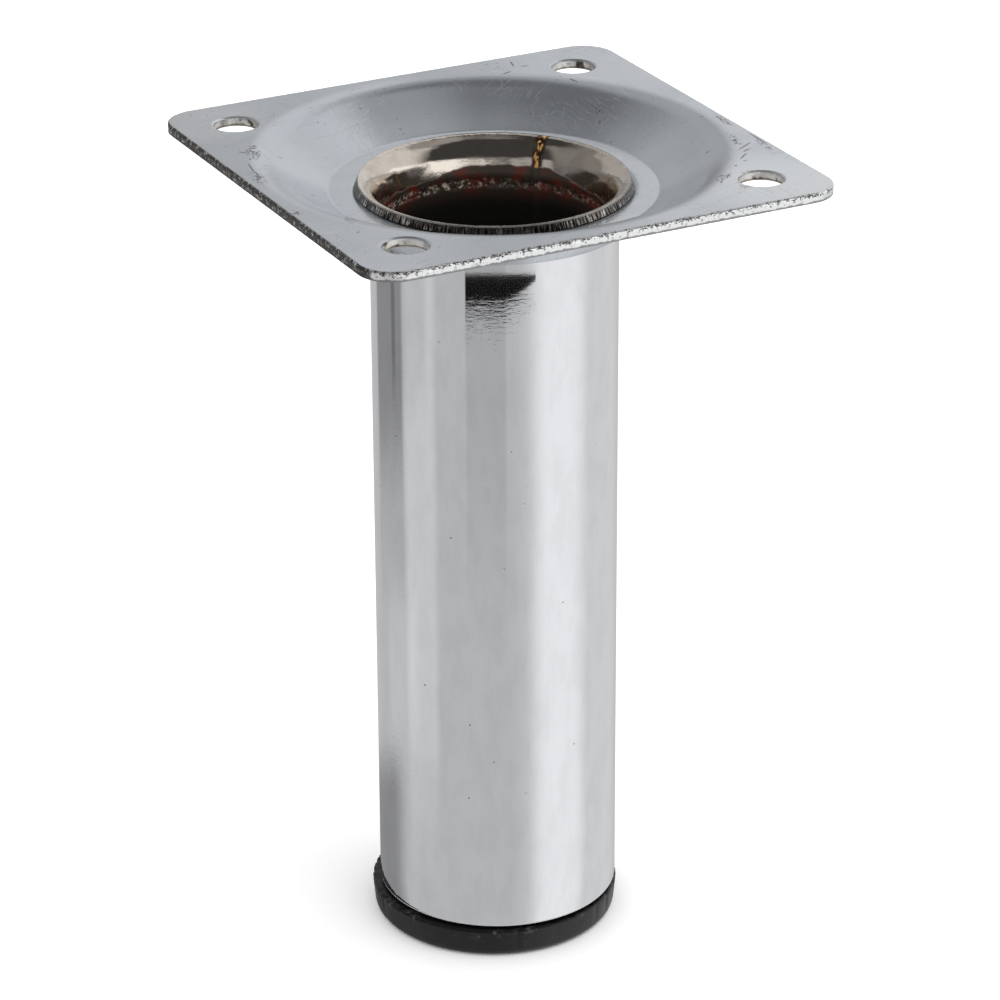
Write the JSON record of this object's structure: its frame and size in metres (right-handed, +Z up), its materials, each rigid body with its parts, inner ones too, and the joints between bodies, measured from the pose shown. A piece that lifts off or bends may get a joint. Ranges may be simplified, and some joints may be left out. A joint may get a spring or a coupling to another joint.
{
  "type": "steel furniture leg",
  "caption": "Short round steel furniture leg with a flared mouth in a square dished screw plate and a plug-in plastic foot cap.",
  "frame": {"origin": "middle of the footprint of the square plate, at floor height, on the tube axis", "axes": "+Z up along the tube from the foot to the screw plate; X and Y along the edges of the square plate"},
  "size_m": [0.06, 0.06, 0.1],
  "materials": {
    "plate_steel": "bright plated sheet, semi-gloss, lightly scuffed, sheared edges",
    "chrome_tube": "chrome plated outside and on the flared mouth, brown rust stains inside the bore",
    "black_plastic": "moulded, satin black"
  },
  "bodies": {
    "root": {"mounting_plate": "plate_steel", "leg_tube": "chrome_tube", "foot_cap": "black_plastic"}
  },
  "joints": []
}
